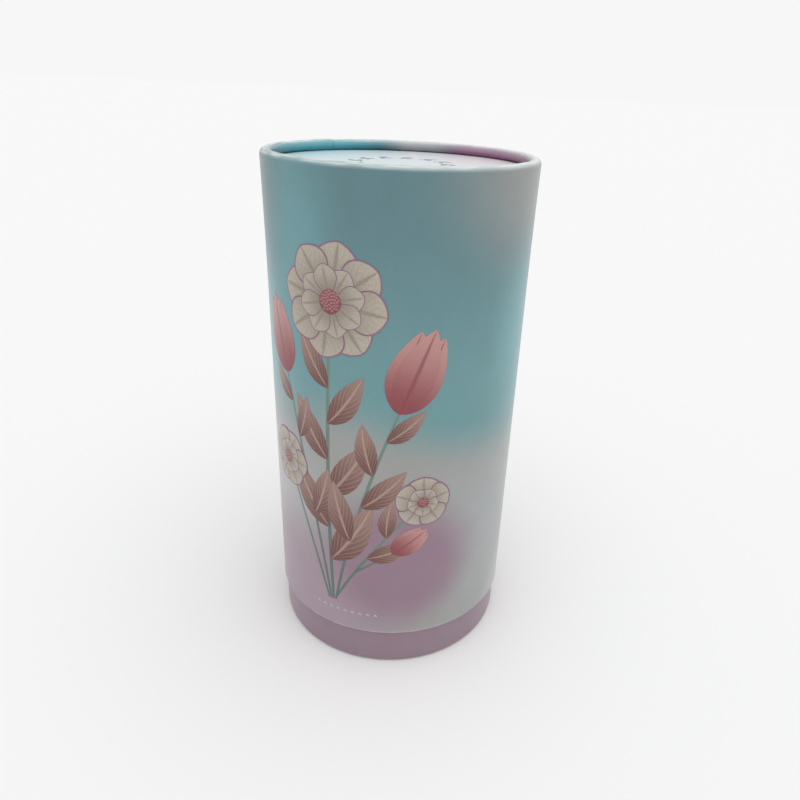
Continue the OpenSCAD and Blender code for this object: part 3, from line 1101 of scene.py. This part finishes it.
# %% The plates
# Name, marks, ink, belly, fullness, lift and layer step in mm, rows and columns of a mark. A
# petal's outline lies half a layer below it, so it shows on the petal behind.
PRINT = (
    ("bouquet_stems", stems, stem_ink, 0.9, 0.12, 0.015, 0.0, 40, 4),
    ("bouquet_leaves", rose_marks, rose_ink, 0.85, 0.9, 0.03, 0.005, 30, 10),
    ("bouquet_buds", coral_marks, coral_ink, 0.85, 0.75, 0.09, 0.008, 24, 14),
    ("bouquet_outlines", outlined(cream_marks, 0.5), edge_ink,
     1.5, 0.6, 0.119, 0.012, 24, 14),
    ("bouquet_petals", cream_marks, cream_ink, 1.5, 0.62, 0.125, 0.012, 24, 14),
    ("bouquet_inner_outlines", outlined(cream_inner, 0.3), edge_ink,
     1.4, 0.7, 0.156, 0.012, 16, 10),
    ("bouquet_inner_petals", cream_inner, cream_ink, 1.4, 0.7, 0.162, 0.012, 16, 10),
    ("bouquet_hearts", hearts, heart_ink, 1.0, 0.5, 0.194, 0.0, 16, 10),
    ("bouquet_seeds", seed_marks, coral_ink, 1.0, 0.5, 0.206, 0.0, 5, 3),
    ("foot_row", foot_row, seed_ink, 1.0, 0.8, 0.03, 0.0, 4, 2),
)

print(len(PRINT), "plates,", sum(len(plate[1]) for plate in PRINT), "marks")

# %% [markdown]
# ### Front and back
#
# The marks go to the tree as a mesh of loose points that carry their numbers. The front's bouquet
# comes once more at the back, mirrored and smaller, so that the box has no blank side.

# %% Printing the plates
# The point of the drawing that stays in place when it shrinks, and where that is at the back.
HELD_ACROSS, HELD_UP = -18, 18
BACK_ACROSS, BACK_UP, BACK_SCALE = 141, 24, 0.8


def at_the_back(marks):
    """The same marks mirrored and smaller, on the back of the sleeve."""
    return [mark(BACK_ACROSS - BACK_SCALE * (a - HELD_ACROSS),
                 BACK_UP + BACK_SCALE * (u - HELD_UP), -t, BACK_SCALE * length, BACK_SCALE * w,
                 -b, layer) for a, u, t, length, w, b, layer in marks]


def roots_of(name, marks):
    """A mesh of loose points, one for each mark, that carry its numbers."""
    points = bpy.data.meshes.new(name + "_roots")
    points.from_pydata([(m[0] * MM, m[1] * MM, 0) for m in marks], [], [])
    columns = {"turn": [math.radians(m[2]) for m in marks], "length": [m[3] * MM for m in marks],
               "width": [m[4] * MM for m in marks], "bend": [m[5] for m in marks],
               "layer": [float(m[6]) for m in marks]}
    for label, values in columns.items():
        points.attributes.new(label, "FLOAT", "POINT").data.foreach_set("value", values)
    return points


FLARE_TO = FOOT_SHOW + SLEEVE_WALL - ROLL / 2
for name, marks, finish, belly, fullness, lift, step, rows, columns in PRINT:
    behind = at_the_back(marks) if name != "foot_row" else []
    piece = grow(name, petal, {
        "Rows": rows, "Columns": columns, "Belly": belly, "Fullness": fullness,
        "Wrap Radius": BOX_RADIUS, "Lift": lift * MM, "Layer Step": step * MM,
        "Flare": RIM_FLARE, "Flare From": FLARE_TO - FLARE_HEIGHT, "Flare To": FLARE_TO}, finish,
        roots_of(name, marks + behind))
    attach(piece, "lid")

# %% [markdown]
# ## A wreath on the disc
#
# The recessed top carries a small wreath in slate ink. It comes from the same tree, told to lie
# flat: leaves follow a circle in pairs, with a seed between each two pairs.

# %% The wreath
DISC_FACE = 195.8 * MM
WREATH = 17.0
PAIRS = 12
SPREAD = 32
wreath = []
for k in range(PAIRS):
    turn = 360 * k / PAIRS
    lean = math.radians(turn)
    across, up = WREATH * math.sin(lean), WREATH * math.cos(lean)
    wreath.append(mark(1.01 * across, 1.01 * up, turn + 90 - SPREAD, 5.2, 2.1, 0.1, 0))
    wreath.append(mark(0.99 * across, 0.99 * up, turn + 90 + SPREAD, 5.2, 2.1, -0.1, 1))
    wreath.append(mark(0.86 * across, 0.86 * up - 0.7, 0, 1.4, 1.4, 0.0, 2))
wreath_piece = grow("disc_wreath", petal, {
    "Rows": 8, "Columns": 4, "Belly": 0.9, "Fullness": 0.8, "Level": DISC_FACE,
    "Lift": 0.03 * MM}, slate_ink, roots_of("disc_wreath", wreath))
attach(wreath_piece, "lid")
